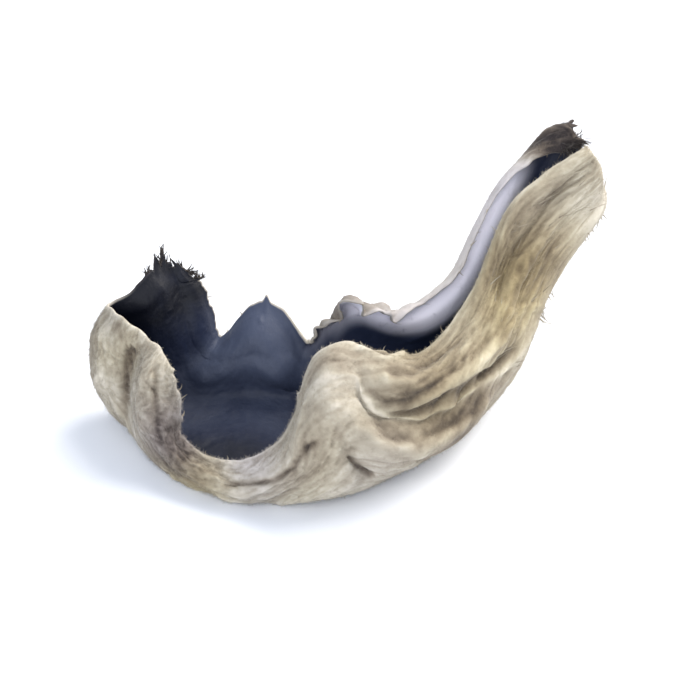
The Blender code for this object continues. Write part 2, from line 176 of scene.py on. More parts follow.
def unit(vectors):
    return vectors / np.maximum(np.linalg.norm(vectors, axis=-1), 1e-9)[..., None]


def along(points, t):
    """The smooth curve through evenly spaced points, read at each t from 0 to 1."""
    points = np.asarray(points, float)
    if points.ndim == 1:
        points = points[:, None]
    last = len(points) - 1
    padded = np.vstack((2 * points[0] - points[1], points, 2 * points[-1] - points[-2]))
    place = np.clip(t, 0.0, 1.0) * last
    cell = np.minimum(place.astype(int), last - 1)
    f = (place - cell)[:, None]
    a, b, c, d = (padded[cell + k] for k in range(4))
    curve = (2 * b + (c - a) * f + (2 * a - 5 * b + 4 * c - d) * f**2
             + (3 * b - a - 3 * c + d) * f**3)
    return curve / 2


def rolled(length, turn, share):
    """How far a rolling margin has gone on and turned in at this share of its arc."""
    turn = np.where(np.abs(turn) < 0.01, 0.01, turn)
    return length * np.sin(turn * share) / turn, length * (1 - np.cos(turn * share)) / turn


def across(guides, s):
    """The cross-section through the guide points at each s."""
    keys = np.asarray(SECTION_SHARE)
    slopes = [(guides[1] - guides[0]) / (keys[1] - keys[0])]
    for k in range(1, len(keys) - 1):
        before = (guides[k] - guides[k - 1]) / (keys[k] - keys[k - 1])
        after = (guides[k + 1] - guides[k]) / (keys[k + 1] - keys[k])
        share = (keys[k] - keys[k - 1]) / (keys[k + 1] - keys[k - 1])
        slopes.append(before * (1 - share) + after * share)
    slopes.append((guides[-1] - guides[-2]) / (keys[-1] - keys[-2]))
    point = np.zeros_like(guides[0])
    for k in range(len(keys) - 1):
        step = keys[k + 1] - keys[k]
        here = (s >= keys[k]) & ((s < keys[k + 1]) | (k == len(keys) - 2))
        f = ((s - keys[k]) / step)[:, None]
        p = ((2 * f**3 - 3 * f**2 + 1) * guides[k] + (f**3 - 2 * f**2 + f) * slopes[k] * step
             + (3 * f**2 - 2 * f**3) * guides[k + 1] + (f**3 - f**2) * slopes[k + 1] * step)
        point[here] = p[here]
    return point


def roll_start(crest, wall, length, turn):
    """The upward direction below a crest, and the place where the margin starts to roll."""
    up = unit(crest - wall)
    quarter = np.minimum(1, np.radians(90) / np.maximum(np.abs(turn), 0.01))
    return up, crest - up * rolled(length, turn, quarter)[0]


def roll_on(point, up, toward, length, turn, share):
    """The place on a margin that rolls from this point, up first and then towards a side."""
    aside = unit(toward - up * np.sum(toward * up, axis=1)[:, None])
    on, turned = rolled(length, turn, share[:, None])
    return point + up * on + aside * turned


def body(t, s):
    """The sheet with its two side margins rolled."""
    inner = np.clip((s - SIDE_ROLL) / (1 - 2 * SIDE_ROLL), 0.0, 1.0)
    near_crest, near_wall = along(NEAR_CREST, t), along(NEAR_WALL, t)
    far_crest, far_wall = along(FAR_CREST, t), along(FAR_WALL, t)
    near_length, near_turn = along(NEAR_ROLL_LENGTH, t), np.radians(along(NEAR_ROLL_TURN, t))
    far_length, far_turn = along(FAR_ROLL_LENGTH, t), np.radians(along(FAR_ROLL_TURN, t))
    near_up, near_rim = roll_start(near_crest, near_wall, near_length, near_turn)
    far_up, far_rim = roll_start(far_crest, far_wall, far_length, far_turn)
    point = across((near_rim, near_wall, along(NEAR_FOOT, t), along(NEAR_FLOOR, t),
                    along(FAR_FLOOR, t), along(FAR_FOOT, t), far_wall, far_rim), inner)
    over = unit(far_crest - near_crest)
    near_share = np.clip((SIDE_ROLL - s) / SIDE_ROLL, 0, 1)
    far_share = np.clip((s - 1 + SIDE_ROLL) / SIDE_ROLL, 0, 1)
    near = roll_on(point, near_up, over, near_length, near_turn, near_share)
    far = roll_on(point, far_up, -over, far_length, far_turn, far_share)
    point = np.where((s < SIDE_ROLL)[:, None], near, point)
    return np.where((s > 1 - SIDE_ROLL)[:, None], far, point)


def loft(t, s):
    """The middle of the sheet before it crumples."""
    inner = np.clip((t - END_ROLL) / (1 - END_ROLL - TAIL_ROLL), 0.0, 1.0)
    point = body(inner, s)
    first = body(np.zeros_like(t), s)
    up = unit(first - body(np.full_like(t, NEXT_TO_END), s))
    share = np.clip((END_ROLL - t) / END_ROLL, 0, 1)
    turn = np.radians(along(END_ROLL_TURN, s))
    end = roll_on(first, up, unit(np.array(END_MIDDLE) - first), along(END_ROLL_LENGTH, s),
                  turn, share)
    point = np.where((t < END_ROLL)[:, None], end, point)
    last = body(np.ones_like(t), s)
    up = unit(last - body(np.full_like(t, 1 - NEXT_TO_END), s))
    share = np.clip((t - 1 + TAIL_ROLL) / TAIL_ROLL, 0, 1)
    turn = np.radians(along(TAIL_ROLL_TURN, s))
    tail = roll_on(last, up, unit(np.array(TAIL_MIDDLE) - last), along(TAIL_ROLL_LENGTH, s),
                   turn, share)
    return np.where((t > 1 - TAIL_ROLL)[:, None], tail, point)


def line_distance(u, v, line):
    """The distance from each (u, v) to a line, positive on its left, and the share along it."""
    line = np.asarray(line, float)
    lengths = np.linalg.norm(line[1:] - line[:-1], axis=1)
    before = np.concatenate(([0.0], np.cumsum(lengths)))
    nearest = np.full(u.shape, 1e9)
    side = np.ones(u.shape)
    share = np.zeros(u.shape)
    for a, b, length, start in zip(line[:-1], line[1:], lengths, before):
        f = ((u - a[0]) * (b[0] - a[0]) + (v - a[1]) * (b[1] - a[1])) / length**2
        f = np.clip(f, 0, 1)
        gap = np.hypot(u - a[0] - f * (b[0] - a[0]), v - a[1] - f * (b[1] - a[1]))
        left = np.sign((b[0] - a[0]) * (v - a[1]) - (b[1] - a[1]) * (u - a[0]))
        share = np.where(gap < nearest, (start + f * length) / before[-1], share)
        side = np.where(gap < nearest, left, side)
        nearest = np.minimum(nearest, gap)
    return nearest * side, share


def noise_at(x, y, seed):
    """Smooth noise from -1 to 1 at each (x, y)."""
    places = np.stack((x, y, np.full(x.shape, seed)), axis=-1).reshape(-1, 3)
    return np.array([noise.noise(Vector(p)) for p in places]).reshape(x.shape)


def fold_height(t, s, points):
    """How far each place of the sheet is pushed towards the pale side by the big folds."""
    u = points[..., 0]
    v = VIEW_RISE * points[..., 2] + VIEW_DEPTH * points[..., 1]
    near_side = fading(s, 0.36, 0.44)
    inland = 0.4 + 0.6 * smooth(np.minimum(s, 1 - s), 0.0, 0.15)
    height = np.zeros(u.shape)
    for amount, half_width, line in BIG_FOLDS:
        gap, share = line_distance(u, v, line)
        full = 0.35 + 0.65 * between(share, (0.0, 0.15), (0.85, 1.0))
        height += amount * bump_at(gap, 0.0, half_width) * near_side * full
    for length, width, amount, seed in CRUMPLES:
        bumps = noise_at(t * SHEET_LENGTH / length, s * SHEET_WIDTH / width, seed)
        height += amount * bumps * (1 - 0.6 * near_side) * inland
    return height


def sheet_normals(points):
    """Unit normals of a grid of points, towards the black face."""
    return unit(np.cross(np.gradient(points, axis=0), np.gradient(points, axis=1)))


def walked(points, axis):
    """The distance walked over a grid of points along one of its axes."""
    steps = np.cumsum(np.linalg.norm(np.diff(points, axis=axis), axis=2), axis=axis)
    return np.concatenate((np.zeros_like(steps.take([0], axis)), steps), axis=axis)


def crowded(places):
    """Evenly spread places from 0 to 1, drawn towards both margins."""
    return places - MARGIN_CROWDING * np.sin(2 * np.pi * places) / (2 * np.pi)


def even_sections(rows, columns):
    """The loft with each section's points spread evenly along it, and closer at its margins."""
    fine = np.linspace(0, 1, FINE_STEPS + 1)
    t, s = np.meshgrid(rows, fine, indexing="ij")
    dense = loft(t.ravel(), s.ravel()).reshape(t.shape + (3,))
    place = walked(dense, 1)
    place /= place[:, -1:]
    wanted = crowded(columns)
    sections = np.empty((len(rows), len(columns), 3))
    for i in range(len(rows)):
        for k in range(3):
            sections[i, :, k] = np.interp(wanted, place[i], dense[i, :, k])
    return sections


def relaxed(points, rounds):
    """The grid with each inner place drawn halfway to the middle of its four neighbours."""
    for _ in range(rounds):
        middle = (points[:-2, 1:-1] + points[2:, 1:-1] + points[1:-1, :-2] + points[1:-1, 2:]) / 4
        points = points.copy()
        points[1:-1, 1:-1] = (points[1:-1, 1:-1] + middle) / 2
    return points


def on_the_floor(height):
    """Heights of the middle of the sheet, eased into the flat of the belly."""
    bend = BELLY + BELLY_BEND * (np.clip((height - BELLY) / BELLY_BEND, -1, 1) + 1) ** 2 / 4
    return np.where(height > BELLY + BELLY_BEND, height, bend)


form_rows = np.linspace(0, 1, FORM_ROWS + 1)
form_columns = np.linspace(0, 1, FORM_COLUMNS + 1)
form_t, form_s = np.meshgrid(form_rows, form_columns, indexing="ij")
form = relaxed(even_sections(form_rows, form_columns), 2)
form[..., 2] = on_the_floor(form[..., 2])
lift = smooth(form[..., 2], BELLY, BELLY + FOLDS_FROM)
away_from_ends = 0.4 + 0.6 * between(form_t, (0.0, 0.05), (0.97, 1.0))
push = fold_height(form_t, form_s, form) * lift * away_from_ends
form = relaxed(form - sheet_normals(form) * push[..., None], 1)
form[..., 2] = np.maximum(form[..., 2], BELLY)
form_sides = np.concatenate((form - sheet_normals(form) * BELLY, form + sheet_normals(form) * BELLY))
form_middle = (form_sides.min(axis=(0, 1)) + form_sides.max(axis=(0, 1))) / 2

# The ear's skin
# The outside was the back of the ear. It shrank as it dried, so it is drawn into pleats that hang
# between the raised shoulder and the tail, with raised veins and finer wrinkles over them. The
# spore face inside stayed smooth. The margin is thin and wavy, and frayed at the dark lobe.
SKIN_ROWS = 300
SKIN_COLUMNS = 150
EDGE_THICKNESS = 0.08
LEAF_THICKNESS = 0.22
BODY_THICKNESS = 0.8 * WALL
EDGE_ROUNDING = 0.3
LEAST_DEPTH = 0.08
EASING_ROUNDS = 150
BED_ROUNDS = 20

# Places along the ear where a margin has a point of its own, in mm from the left end, and the half
# width of the dark lump.
LOBE_TIP = 25.7
LUMP_TOP = 36.2
NOTCH_POINT = 29.6
PANEL_TIP = 12.0
LUMP_REACH = 3.4

# A margin's waves have a height, a length and a seed, and its points a height, a place and a half
# width. Its ragged edge comes in patches, of teeth with threads, each with a length and a seed.
FAR_WAVES = ((0.28, 2.4, 2.5), (0.14, 0.8, 3.5))
FAR_POINTS = ((0.7, LOBE_TIP, 0.34), (0.9, LUMP_TOP, 0.6))
NEAR_WAVES = ((0.20, 2.6, 12.5), (0.12, 0.9, 13.5))
NEAR_POINTS = ((0.8, NOTCH_POINT, 0.35), (0.35, PANEL_TIP, 0.9))
END_WAVES = ((0.20, 1.8, 6.5),)
TAIL_WAVES = ((0.30, 1.3, 16.5),)
SIDE_TEETH = ((1.7, 5.5), (0.8, 4.5), (0.42, 14.5))
END_TEETH = ((1.5, 9.5), (0.75, 8.5), (0.4, 18.5))
WORN_TEETH = 1.2
TORN_TEETH = 0.9
RUFFLE_HEIGHT = 0.75
RUFFLE_LENGTH = 2.3
FRILL_HEIGHT = 0.35
FRILL_LENGTH = 1.05
FRILL_SLANT = 0.4

# How far inland each margin's waves reach, in mm.
FAR_REACH = 1.8
NEAR_REACH = 2.0
END_REACH = 1.5
RUFFLE_REACH = 2.6

# Layers of noise over the sheet have a height, a length, a width and a seed.
LUMP_NOISE = (0.8, 0.9, 2.5, 7.5)
WARPS = ((1.1, 8.0, 8.0, 21.5), (0.8, 2.8, 2.8, 23.5), (0.35, 1.2, 1.2, 27.5))
STRETCHING = (2.2, 6.0, 6.0, 25.5)
PLEATS = (1.0, 8.5, 2.6, 31.5)
GRAIN = (1.0, 0.42, 0.36, 39.5)
PUCKERS = ((1.0, 1.5, 1.2, 61.5), (0.5, 0.7, 0.6, 62.5))
HOLLOW_WRINKLES = ((0.03, 1.6, 1.2, 41.5), (0.05, 2.4, 1.0, 71.5))
HOLLOW_GRAIN = (0.010, 0.7, 0.7, 43.5)
STAINS = ((1.0, 5.5, 3.5, 63.5), (0.6, 2.0, 1.4, 64.5))
WARM_PATCHES = (0.14, 6.0, 4.5, 65.5)
BLOTS = (1.0, 2.2, 1.6, 66.5)

# Crests have a length, a width, a seed and a sharpness.
VEINS = (6.5, 1.8, 33.5, 4.0)
SMALL_VEINS = (3.2, 0.8, 35.5, 3.0)
ARCS = (1.0, 1.0, 36.5, 3.0)
ARC_WAVES = 2.2
CREASES = (4.6, 1.7, 45.5, 9.0)
CRUMPLE = (1.3, 0.5, 37.5, 1.5)
HOLLOW_PUCKERS = (2.0, 0.7, 72.5, 3.0)

# How high the wrinkles stand, in mm, on the outside and then in the hollow.
PLEAT_HEIGHT = 0.26
VEIN_HEIGHT = 0.20
SMALL_VEIN_HEIGHT = 0.09
ARC_HEIGHT = 0.26
CREASE_DEPTH = 0.15
PUCKER_HEIGHT = 0.07
CRUMPLE_HEIGHT = 0.06
GRAIN_HEIGHT = 0.03
HOLLOW_LIFT = 0.05
HOLLOW_PLEAT_HEIGHT = 0.06
HOLLOW_PUCKER_HEIGHT = 0.035

# Lines that stand out by themselves, as they are seen from the front: a height, a half width, the
# distance of a groove that runs beside the line, and the line's points from end to end.
SHOULDER_LINE = ((-0.3, 13.7), (0.2, 11.9), (1.4, 10.0), (3.2, 9.1), (5.2, 9.2), (7.7, 10.2),
                 (10.0, 11.4), (12.3, 12.9), (14.3, 14.7), (15.5, 16.8))
SKIN_LINES = (
    (0.40, 0.40, 0.70, SHOULDER_LINE),
    (0.30, 0.34, 0.60, ((0.9, 12.2), (1.4, 10.9), (2.7, 10.0), (4.7, 10.2), (7.0, 11.4), (9.4, 12.9),
                        (11.3, 14.5), (13.0, 16.5))),
    (0.24, 0.34, 0.60, ((2.1, 13.2), (3.1, 12.2), (5.0, 12.2), (7.4, 13.5), (9.4, 15.2))),
    (0.36, 0.32, 0.55, ((-0.3, 15.4), (1.4, 14.7), (2.7, 14.0), (4.1, 14.5), (5.0, 15.4))),
    (0.28, 0.42, 0.75, ((0.7, 8.6), (2.4, 6.9), (5.0, 6.2), (8.0, 7.6), (11.0, 9.2), (13.7, 11.9))),
    (0.22, 0.42, 0.75, ((2.6, 5.2), (5.6, 4.9), (8.8, 6.4), (12.0, 8.8), (14.6, 12.2))),
    (-0.55, 0.26, 0.0, ((-0.8, 6.1), (0.1, 5.1), (1.4, 4.2))),
    (-0.50, 0.24, 0.0, ((-11.7, 3.2), (-9.2, 3.4), (-6.9, 3.7), (-5.2, 4.9), (-4.3, 6.6), (-2.9, 7.6))),
    (-0.45, 0.28, 0.0, ((-5.6, 2.1), (-2.9, 1.6), (1.4, 1.8), (4.4, 2.9), (7.0, 4.6), (9.7, 6.6))),
    (-0.55, 0.45, 0.0, ((-19.4, 15.8), (-19.7, 13.2), (-20.2, 10.2), (-20.4, 7.6))),
    (-0.30, 0.30, 0.0, ((-17.7, 14.0), (-17.4, 11.6), (-17.3, 9.0), (-16.6, 6.4))),
)
LINE_SWAY = 0.35
GROOVE_SHARE = 0.8
HOLLOW_FOLD = ((-15.4, 11.9), (-12.5, 13.0), (-9.6, 13.9), (-6.9, 13.2), (-5.2, 12.0))
HOLLOW_FOLD_HEIGHT = 0.45
HOLLOW_FOLD_WIDTH = 1.1

# Round zones of the outside made paler or warmer, or less so where the amount is negative: a middle,
# a size and an amount.
PALE_ZONES = ((-18.5, 11.0, 4.2, 0.03), (-2.0, 12.0, 3.0, 0.02), (-9.0, 5.0, 4.5, 0.12),
              (6.0, 11.8, 4.2, -0.26), (-1.0, 3.0, 5.0, 0.08), (10.0, 7.0, 5.0, -0.16),
              (15.5, 22.0, 4.5, -0.32), (20.5, 29.0, 3.0, 0.16), (-15.8, 7.0, 2.6, -0.34))
WARM_ZONES = ((15.5, 20.0, 6.0, 0.50), (6.0, 11.0, 5.0, 0.22), (-14.5, 3.0, 4.0, 0.45),
              (-9.0, 4.8, 3.0, -0.45), (-15.5, 7.5, 3.0, -0.80), (-2.0, 11.0, 3.5, -0.10),
              (2.0, 3.5, 5.0, -0.15))


def finer(grid, rows, columns):
    """A grid of points read at more rows and columns, on smooth curves through them."""
    down = along(grid.reshape(len(grid), -1), rows).reshape(len(rows), -1, 3)
    turned = down.transpose(1, 0, 2)
    sideways = along(turned.reshape(len(turned), -1), columns)
    return sideways.reshape(len(columns), len(rows), 3).transpose(1, 0, 2)


def ripple(place, length, seed):
    """Noise along a margin, with waves of this length."""
    return noise_at(place / length, 0 * place, seed)


def margin_wave(place, waves, points=()):
    """How far a margin reaches out, by its waves and by its points."""
    wave = sum(height * ripple(place, length, seed) for height, length, seed in waves)
    return wave + sum(height * bump_at(place, at, width) for height, at, width in points)


def ragged(place, sizes, whole):
    """How ragged a margin is, with teeth and threads in patches, full where their noise is whole."""
    patches, teeth, threads = (ripple(place, *size) for size in sizes)
    toothed = np.clip(2.4 * teeth, 0, 1) + 0.5 * np.clip(threads, 0, 1)
    return toothed * smooth(patches, -0.25, whole)


def let_out(points, outward, wave, distance, reach):
    """The sheet with one margin moved outward by a wave, which fades inland over its reach."""
    return points + outward * (wave * fading(distance, 0.0, reach))[..., None]


def layered(places, *layers):
    """The sum of layers of noise over the sheet."""
    return sum(height * noise_at(places[0] / length, places[1] / width, seed)
               for height, length, width, seed in layers)


def crests(places, length, width, seed, sharpness):
    """The sharp crests of one layer of noise, from 0 to 1."""
    waves = noise_at(places[0] / length, places[1] / width, seed)
    return np.clip(1 - 2.0 * np.abs(waves), 0, 1) ** sharpness


skin_rows = np.linspace(0, 1, SKIN_ROWS + 1)
skin_columns = np.linspace(0, 1, SKIN_COLUMNS + 1)
t, s = np.meshgrid(skin_rows, skin_columns, indexing="ij")
skin = finer(form, skin_rows, skin_columns)
skin[..., 2] = np.maximum(skin[..., 2], BELLY)
length_place = t * SHEET_LENGTH
width_place = SHEET_WIDTH * crowded(s)
flat = (length_place, width_place)
from_near, from_end = walked(skin, 1), walked(skin, 0)
from_far, from_tail = from_near[:, -1:] - from_near, from_end[-1:] - from_end
from_margin = np.minimum(np.minimum(from_near, from_far), np.minimum(from_end, from_tail))

# The margins wave, fray and curl.
far_out = unit(skin[:, -1] - skin[:, -3])[:, None]
near_out = unit(skin[:, 0] - skin[:, 2])[:, None]
end_out = unit(skin[0] - skin[2])[None]
side_teeth = ragged(length_place, SIDE_TEETH, 0.35)
end_teeth = ragged(width_place, END_TEETH, 0.30)
far_wave = margin_wave(length_place, FAR_WAVES, FAR_POINTS)
far_wave += WORN_TEETH * side_teeth * fading(t, 0.08, 0.12)
far_wave += TORN_TEETH * side_teeth * smooth(t, 0.90, 0.94)
skin = let_out(skin, far_out, far_wave, from_far, FAR_REACH)
lump = bump_at(length_place, LUMP_TOP, LUMP_REACH)
ruffle = RUFFLE_HEIGHT * np.sin(2 * np.pi * (length_place - LUMP_TOP) / RUFFLE_LENGTH)
ruffle += layered((length_place, from_far), LUMP_NOISE)
ruffle += FRILL_HEIGHT * np.sin(2 * np.pi * (length_place + FRILL_SLANT * from_far) / FRILL_LENGTH)
skin = let_out(skin, sheet_normals(skin), ruffle * lump, from_far, RUFFLE_REACH)
end_wave = margin_wave(width_place, END_WAVES) + WORN_TEETH * end_teeth * smooth(s, 0.66, 0.76)
skin = let_out(skin, end_out, end_wave, from_end, END_REACH)
tail_out = unit(skin[-1] - skin[-3])[None]
tail_wave = margin_wave(width_place, TAIL_WAVES) + TORN_TEETH * end_teeth * smooth(s, 0.50, 0.70)
skin = let_out(skin, tail_out, tail_wave, from_tail, END_REACH)
near_wave = margin_wave(length_place, NEAR_WAVES, NEAR_POINTS)
skin = let_out(skin, near_out, near_wave, from_near, NEAR_REACH)

# The outside has pleats, veins and wrinkles that mostly run along the ear, and hang in arcs below
# the shoulder. Here u and v are how far right and how high a place is seen from the front.
warp = layered(flat, *WARPS)
pulled = (length_place + layered(flat, STRETCHING), width_place + warp)
u = skin[..., 0]
v = VIEW_RISE * skin[..., 2] + VIEW_DEPTH * skin[..., 1]
near_side = fading(s - 0.2 * fading(t, 0.10, 0.20), 0.38, 0.46)
inland = smooth(from_margin, 0.3, 2.4)
tail = smooth(t, 0.70, 0.86)
gap, share = line_distance(u, v, SHOULDER_LINE)
hanging = near_side * fading(np.abs(gap), 2.2, 4.6) * smooth(share, 0.02, 0.2)
arcs = crests((ARC_WAVES * share, gap + LINE_SWAY * warp), *ARCS) * hanging
pleats = layered(pulled, PLEATS)
veins = crests(pulled, *VEINS) * (1 - 0.6 * hanging)
small_veins = crests(pulled, *SMALL_VEINS) * (1 - 0.4 * hanging)
crumple = crests(pulled, *CRUMPLE) - 0.5
grain = layered(pulled, GRAIN)
lines = np.zeros(t.shape)
for height, half_width, groove, line in SKIN_LINES:
    gap, share = line_distance(u + LINE_SWAY * warp, v, line)
    ridge = bump_at(gap, 0.0, half_width)
    if groove:
        ridge = ridge - GROOVE_SHARE * bump_at(gap, groove, half_width)
    lines += height * ridge * between(share, (0.0, 0.12), (0.88, 1.0)) * near_side
wrinkling = (PLEAT_HEIGHT * pleats + VEIN_HEIGHT * (veins - 0.2) * (1 - 0.4 * tail)
             + SMALL_VEIN_HEIGHT * (small_veins - 0.25) + ARC_HEIGHT * (arcs - 0.2 * hanging)
             - CREASE_DEPTH * crests(pulled, *CREASES) + PUCKER_HEIGHT * layered(flat, *PUCKERS))
relief = (inland * wrinkling + lines
          + (0.4 + 0.6 * inland) * (CRUMPLE_HEIGHT * crumple + GRAIN_HEIGHT * grain))

# The sheet gets its thickness on both sides of its middle. The inside is first eased where it is
# bent sharply, and its own wrinkles are low.
normals = sheet_normals(skin)
rounding = np.clip(from_margin / EDGE_ROUNDING, 0, 1)
thickness = EDGE_THICKNESS + LEAF_THICKNESS * np.sqrt(1 - (1 - rounding) ** 2)
thickness += (BODY_THICKNESS - EDGE_THICKNESS - LEAF_THICKNESS) * smooth(from_margin, 0.2, 3.2)
outer = skin - normals * (thickness / 2 + relief)[..., None]
outer[..., 2] = np.maximum(outer[..., 2], 0.0)
easing = relaxed(skin, EASING_ROUNDS) - skin
eased = smooth(np.sum(easing * normals, axis=-1), -0.06, 0.12) * smooth(from_margin, 2.0, 4.0)
bed = skin + easing * eased[..., None]
gap, share = line_distance(u, v, HOLLOW_FOLD)
fold = bump_at(gap, 0.0, HOLLOW_FOLD_WIDTH) * between(share, (0.0, 0.2), (0.8, 1.0))
hollow_relief = inland * (HOLLOW_LIFT + HOLLOW_PLEAT_HEIGHT * pleats
                          + layered(pulled, *HOLLOW_WRINKLES)
                          + HOLLOW_PUCKER_HEIGHT * crests(pulled, *HOLLOW_PUCKERS))
hollow_relief += HOLLOW_FOLD_HEIGHT * fold * smooth(s, 0.52, 0.60) + layered(flat, HOLLOW_GRAIN)
hollow_relief += np.maximum(0, LEAST_DEPTH - thickness / 2 - relief)
bed_normals = sheet_normals(relaxed(bed, BED_ROUNDS))
inner = bed + bed_normals * (thickness / 2 + hollow_relief)[..., None]


def zoned(zones):
    """Round zones of the outside's near side, added up."""
    return near_side * sum(amount * bump_at(np.hypot(u - right, v - high), 0.0, size)
                           for right, high, size, amount in zones)


# The materials read how pale and how warm the back is, with painted highlights and shade in both, the
# painted light and shade on the spore face, where a pale bloom with a painted sheen lies on it, where
# the flesh is dark at the torn tail, and where painted shade darkens the left lobe.
blots = layered(flat, BLOTS)
torn = smooth(t + 0.03 * blots, 0.885, 0.965) * smooth(s + 0.06 * blots, 0.58, 0.74)
# Painted shade: the left lobe's far margin is darkened where it stands in shade.
lobe_shade = fading(t, 0.0, 0.10) * smooth(s, 0.52, 0.66) * fading(from_margin, 0.3, 1.8)
# The torn tail's dark flesh, together with the left lobe's painted shade.
torn_and_shaded = np.maximum(torn, lobe_shade)
# Painted light: the rolled far rim by the trough is made whitish, where light from behind falls on it.
lit_far_roll = between(t, (0.64, 0.74), (0.88, 0.94)) * fading(from_far, 1.0, 2.6)
# Painted shade: the outside by the lump is made darker and cooler.
shaded_lump = lump * fading(from_far, 1.5, 3.5)
# Paleness follows the relief: crests of wrinkles, lines, crumples and grain get painted highlights,
# their grooves painted shade, and a painted highlight runs along the margin. Stains are real colour.
paleness = (0.17 + 0.50 * wrinkling + 0.80 * lines + 0.12 * crumple + 0.08 * grain
            + 0.16 * layered(flat, *STAINS) + zoned(PALE_ZONES)
            + 0.70 * lit_far_roll + 0.30 * bump_at(from_margin, 0.0, 0.4)
            - (0.72 + 0.30 * blots) * torn_and_shaded - 0.25 * shaded_lump)
# Warmth is cooled by the painted shade and by the lit far rim's painted light.
warmth = (0.5 + zoned(WARM_ZONES) + layered(flat, WARM_PATCHES)
          - 0.4 * shaded_lump - 0.3 * torn_and_shaded - 0.4 * lit_far_roll)
# A pale bloom with a painted sheen: the spore face is made whitish below the far rim and on the lump.
bloom_and_sheen = between(t, (0.60, 0.68), (0.88, 0.93)) * fading(from_far, 2.0, 4.4)
bloom_and_sheen += 0.35 * lump * fading(from_far, 1.0, 3.0)
# Painted light and shade on the spore face: the middle lobe's far wall lighter, and the left end's
# far side, the right-hand trough by the near rim and the lowest floor darker.
spore_light_and_shade = (0.5 + 0.5 * between(t, (0.24, 0.34), (0.50, 0.62)) * smooth(s, 0.46, 0.58)
         - 0.5 * fading(t, 0.10, 0.26) * smooth(s, 0.40, 0.60)
         - 0.4 * smooth(t, 0.55, 0.62) * fading(s, 0.60, 0.72)
         - 0.34 * fading(skin[..., 2], 0.8, 5.0))
skin_readings = {"paleness": paleness, "margin": from_margin, "bloom_and_sheen": bloom_and_sheen, "spore_light_and_shade": spore_light_and_shade,
                 "torn_and_shaded": torn_and_shaded, "warmth": warmth}

# The outside is a grid, and the inside a copy of it. The two are joined along the margin.
origin = np.array((form_middle[0], form_middle[1], 0.0))
bm = bmesh.new()
layers = {name: bm.verts.layers.float.new(name) for name in skin_readings}
sheet_layer = bm.verts.layers.float_vector.new("sheet")
bmesh.ops.create_grid(bm, x_segments=SKIN_ROWS, y_segments=SKIN_COLUMNS, size=0.5)
outer_faces = bm.faces[:]
outer_verts = bm.verts[:]
for face in outer_faces:
    face.material_index = 1
copied = bmesh.ops.duplicate(bm, geom=outer_verts + bm.edges[:] + outer_faces)
for face in outer_faces:
    face.material_index = 0
for vert in outer_verts:
    i = round((vert.co.x + 0.5) * SKIN_ROWS)
    j = round((vert.co.y + 0.5) * SKIN_COLUMNS)
    twin = copied["vert_map"][vert]
    for each in (vert, twin):
        for name, layer in layers.items():
            each[layer] = skin_readings[name][i, j]
        each[sheet_layer] = Vector((length_place[i, j], width_place[i, j], 0.0)) * MM
    twin.co = Vector(inner[i, j] - origin) * MM
    vert.co = Vector(outer[i, j] - origin) * MM
bmesh.ops.reverse_faces(bm, faces=outer_faces)
bmesh.ops.bridge_loops(bm, edges=[e for e in bm.edges if e.is_boundary])
bmesh.ops.recalc_face_normals(bm, faces=bm.faces[:])
ear_mesh = bpy.data.meshes.new("ear_skin")
bm.to_mesh(ear_mesh)
bm.free()
ear_mesh.shade_smooth()
ear = bpy.data.objects.new("ear_skin", ear_mesh)
bpy.context.collection.objects.link(ear)

# The back is matt and velvety, and the spore face is leathery. A texture has a scale, a detail and
# a roughness, and a bump a strength and a depth in metres.
VELVET_FINISH = {"Roughness": 0.92, "Specular IOR Level": 0.25, "Sheen Weight": 0.18,
                 "Sheen Roughness": 0.45, "Sheen Tint": (1.0, 0.95, 0.88, 1.0)}
VELVET_COLOURS = (
    (0.05, (0.030, 0.024, 0.022)), (0.28, (0.112, 0.089, 0.066)), (0.50, (0.230, 0.193, 0.142)),
    (0.74, (0.366, 0.326, 0.250)), (1.0, (0.560, 0.515, 0.425)),
)
TINTS = ((0.0, (0.90, 0.92, 1.12)), (0.5, (1.0, 1.0, 1.0)), (1.0, (1.04, 0.98, 0.74)))
STREAK_STRETCH = (0.34, 1.0, 1.0)
STREAKS = (760.0, 5.0, 0.6)
BLOTCHES = (260.0, 5.0, 0.6)
SPECKS = (2100.0, 3.0, 0.6)
WRINKLE_SCALE = 760.0
WANDER = (420.0, 3.0, 0.5)
WANDER_REACH = 0.0016
NAP = (2300.0, 4.0, 0.65)
PILE = (6500.0, 2.0, 0.7)
WRINKLE_BUMP = (0.35, 0.00012)
NAP_BUMP = (0.55, 0.00010)
PILE_BUMP = (0.45, 0.00005)
SPORE_FINISH = {"Roughness": 0.55, "Specular IOR Level": 0.24}
SPORE_COLOURS = (
    (0.0, (0.0022, 0.0030, 0.0075)), (0.5, (0.0115, 0.0165, 0.038)), (1.0, (0.048, 0.059, 0.096)),
)
# The spore face's pale bloom and painted sheen.
BLOOM_AND_SHEEN_COLOUR = (0.90, 0.88, 0.98, 1.0)
EDGE_COLOUR = (0.36, 0.33, 0.29, 1.0)
# Dark torn flesh, also used as painted shade at the left lobe's edge.
TORN_AND_SHADED_COLOUR = (0.016, 0.014, 0.018, 1.0)
CLOUDS = (320.0, 7.0, 0.68)
HAZE = (620.0, 6.0, 0.65)
DRYING = (420.0, 5.0, 0.6)
LEATHER = (1100.0, 3.0, 0.55)
PORES = (3200.0, 3.0, 0.6)
DRYING_BUMP = (0.45, 0.00028)
LEATHER_BUMP = (0.45, 0.00010)
PORE_BUMP = (0.30, 0.00003)


def new_material(name, finish):
    """A material with this finish, its tree of nodes and its shader."""
    material = bpy.data.materials.new(name)
    material.use_nodes = True
    shader = material.node_tree.nodes["Principled BSDF"]
    for quality, value in finish.items():
        shader.inputs[quality].default_value = value
    return material, material.node_tree, shader


